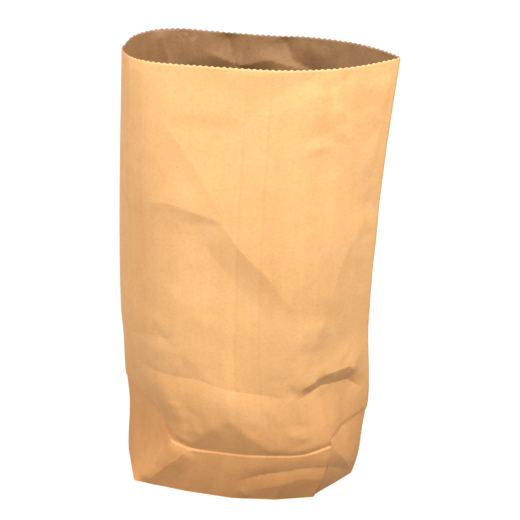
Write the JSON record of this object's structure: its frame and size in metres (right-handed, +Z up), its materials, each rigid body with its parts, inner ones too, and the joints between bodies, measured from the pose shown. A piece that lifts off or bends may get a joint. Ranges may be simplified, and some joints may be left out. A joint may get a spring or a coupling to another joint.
{
  "type": "paper waste sack",
  "caption": "Tall open-topped kraft paper waste sack, standing empty on its folded cross bottom, with a pinked mouth edge and packing creases.",
  "frame": {"origin": "on the underside of the folded bottom, in the middle between its two pointed ends and its two long sides", "axes": "+Z up out of the mouth, +Y from the front wall with the packing crease to the back wall, +X to the right as seen from the front"},
  "size_m": [0.4947, 0.2477, 0.838],
  "materials": {
    "kraft_paper": "matt brown kraft paper, two plies, lightly creased"
  },
  "bodies": {
    "root": {"paper_sack": "kraft_paper"}
  },
  "joints": []
}
